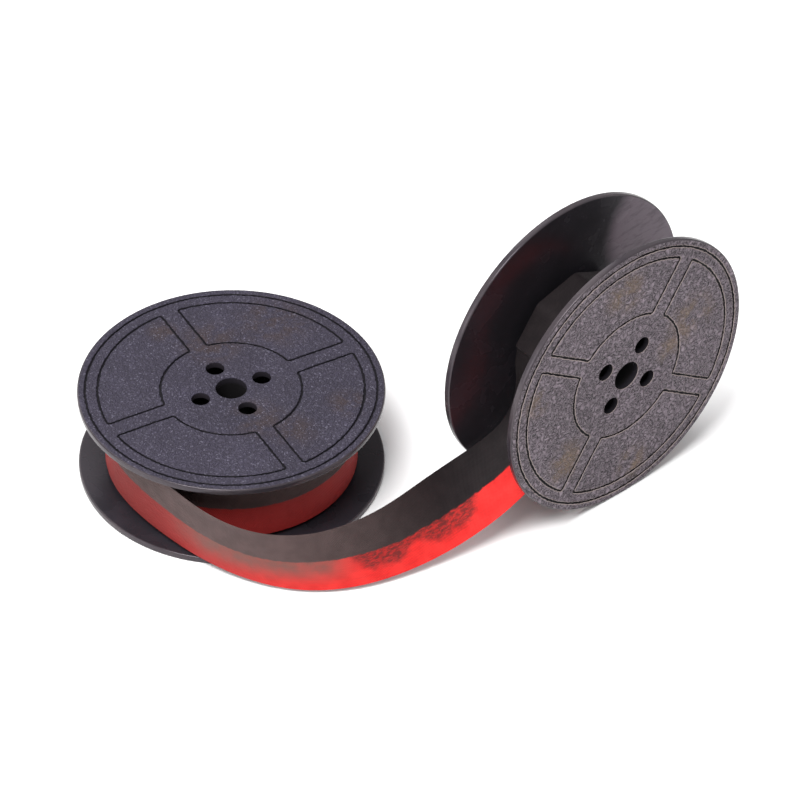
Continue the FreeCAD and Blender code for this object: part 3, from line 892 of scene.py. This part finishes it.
# painted light: the take-up's outer faces take a much paler base colour than the supply's, standing for the light
# that falls on them
TAKEUP_OUTER_PAINTED_LIGHT = wrinkled(
    "takeup_wrinkle_painted_light",
    base=(0.218, 0.178, 0.207, 1),
    painted_crease_shade=(0.012, 0.009, 0.011, 1),
    dust=(0.19, 0.130, 0.085, 1),
    dust_spots=spots_on("takeup", "front_flange", TAKEUP_DUST),
    painted_glint=(0.26, 0.23, 0.25, 1),
    fineness=1.2,
    depth=0.75 * MM,
)
SUPPLY_INNER = smooth_plastic(
    "supply_inner_plastic", base=(0.018, 0.016, 0.020, 1), haze=(0.034, 0.028, 0.036, 1), roughness=0.24
)
TAKEUP_INNER = smooth_plastic(
    "takeup_inner_plastic",
    base=(0.016, 0.015, 0.018, 1),
    haze=(0.030, 0.026, 0.033, 1),
    roughness=0.22,
    painted_reflection_spots=spots_on("takeup", "back_flange", TAKEUP_PAINTED_REFLECTION),
    shine=TAKEUP_INNER_SHINE,
)
# painted shade: the floors and deep walls of the engraved lines are near-black for the shade inside them
LINE_PAINTED_SHADE = smooth_plastic(
    "line_painted_shade_plastic", base=(0.006, 0.006, 0.008, 1), haze=(0.012, 0.011, 0.014, 1), roughness=0.6
)
# painted highlight: the pale shoulders of the take-up's engraved lines stand for light catching their edges
LINE_EDGE_HIGHLIGHT = smooth_plastic(
    "line_edge_painted_highlight", base=(0.29, 0.24, 0.23, 1), haze=(0.36, 0.29, 0.27, 1), roughness=0.5
)
RIM = smooth_plastic(
    "rim_plastic",
    base=(0.030, 0.025, 0.030, 1),
    haze=(0.080, 0.066, 0.068, 1),
    roughness=0.20,
    shine=RIM_SHINE,
)
HUB = smooth_plastic(
    "hub_plastic", base=(0.012, 0.011, 0.012, 1), haze=(0.03, 0.028, 0.028, 1), roughness=0.38
)
CLIP = smooth_plastic(
    "clip_plastic", base=(0.014, 0.013, 0.013, 1), haze=(0.04, 0.038, 0.036, 1), roughness=0.30
)
BRASS = brass("eyelet_brass")
RIBBON_MATERIAL = inked_ribbon("inked_ribbon_fabric")
CAD_MATERIALS = {"hub_barrel": HUB, "spindle_sleeve": HUB, "end_clip": CLIP, "eyelet": BRASS}
FLANGE = flange_shell()


def finish_cad_nodes():
    """Gives the CAD's own solids their materials."""
    for prefix in ("supply", "takeup"):
        for part, material in CAD_MATERIALS.items():
            for slot in frame["nodes"][f"{prefix}_{part}"].material_slots:
                slot.material = material


flanges("supply", "upper_flange", "lower_flange", SUPPLY_OUTER, SUPPLY_INNER, SUPPLY_OUTER)
flanges("takeup", "front_flange", "back_flange", TAKEUP_OUTER_PAINTED_LIGHT, TAKEUP_INNER, LINE_EDGE_HIGHLIGHT)
free_ribbon(
    [
        wound_pack("supply", SUPPLY_PACK_RADIUS, black_side=1),
        wound_pack("takeup", TAKEUP_PACK_RADIUS, black_side=-1),
    ]
)
finish_cad_nodes()

# ---------------------------------------------------------------- floor, light and camera

FLOOR_GAP = 0.02 * MM
FLOOR_HALF = 4.0
CAMERA_PLACE = (0.030687, -0.869114, 0.762778)
CAMERA_YAW = -0.0013
CAMERA_PITCH = 0.7104
CAMERA_ROLL = 0.0146
CAMERA_LENS_MM = 294.43
SENSOR_MM = 36.0
SURROUNDINGS = (1.0, 0.99, 1.0, 1)
SURROUNDINGS_STRENGTH = 0.55
LIT_POINT = (0.03, 0.0, 0.02)
# the soft lights: name, place, size in metres and power in watts
LIGHTS = [
    ("key", (-0.22, -0.42, 1.05), 0.55, 17.0),
    ("back", (-0.45, 0.75, 0.80), 0.7, 3.0),
    ("left", (-0.95, -0.45, 0.35), 0.5, 3.0),
]


def floor():
    """A plain pale floor, just under the spools."""
    mesh = bpy.data.meshes.new("floor")
    side = FLOOR_HALF
    corners = [(-side, -side, 0), (side, -side, 0), (side, side, 0), (-side, side, 0)]
    mesh.from_pydata(corners, [], [(0, 1, 2, 3)])
    finish = Finish("pale_floor")
    cloud = finish.noise(finish.millimetres(), 0.02, detail=2.0)
    finish.set(Base_Color=finish.mix(cloud, (0.90, 0.90, 0.90, 1), (0.92, 0.92, 0.92, 1)), Roughness=0.9)
    mesh.materials.append(finish.material)
    made = shown("floor", mesh)
    made.location.z = -FLOOR_GAP


def area_light(name, place, size, power):
    """A soft square light that faces the object."""
    data = bpy.data.lights.new(name, "AREA")
    data.size = size
    data.energy = power
    made = shown(name, data)
    made.location = place
    made.rotation_euler = (Vector(LIT_POINT) - Vector(place)).to_track_quat("-Z", "Y").to_euler()


def camera():
    """The camera at the photo's angle."""
    data = bpy.data.cameras.new("camera")
    data.lens = CAMERA_LENS_MM
    data.sensor_width = SENSOR_MM
    data.clip_start, data.clip_end = 0.01, 50
    facing = Vector((math.sin(CAMERA_YAW), math.cos(CAMERA_YAW), 0))
    ahead = facing * math.cos(CAMERA_PITCH) - Vector((0, 0, math.sin(CAMERA_PITCH)))
    level = Vector((math.cos(CAMERA_YAW), -math.sin(CAMERA_YAW), 0))
    matrix = Matrix((level, level.cross(ahead), -ahead)).transposed().to_4x4()
    matrix = matrix @ Matrix.Rotation(CAMERA_ROLL, 4, "Z")
    matrix.translation = CAMERA_PLACE
    made = shown("camera", data)
    made.matrix_world = matrix
    bpy.context.scene.camera = made


def studio():
    """Even white surroundings and three soft lights."""
    world = bpy.data.worlds.new("studio")
    world.use_nodes = True
    background = world.node_tree.nodes["Background"]
    background.inputs["Color"].default_value = SURROUNDINGS
    background.inputs["Strength"].default_value = SURROUNDINGS_STRENGTH
    bpy.context.scene.world = world
    for light in LIGHTS:
        area_light(*light)
    bpy.context.scene.view_settings.view_transform = "Standard"


floor()
camera()
studio()
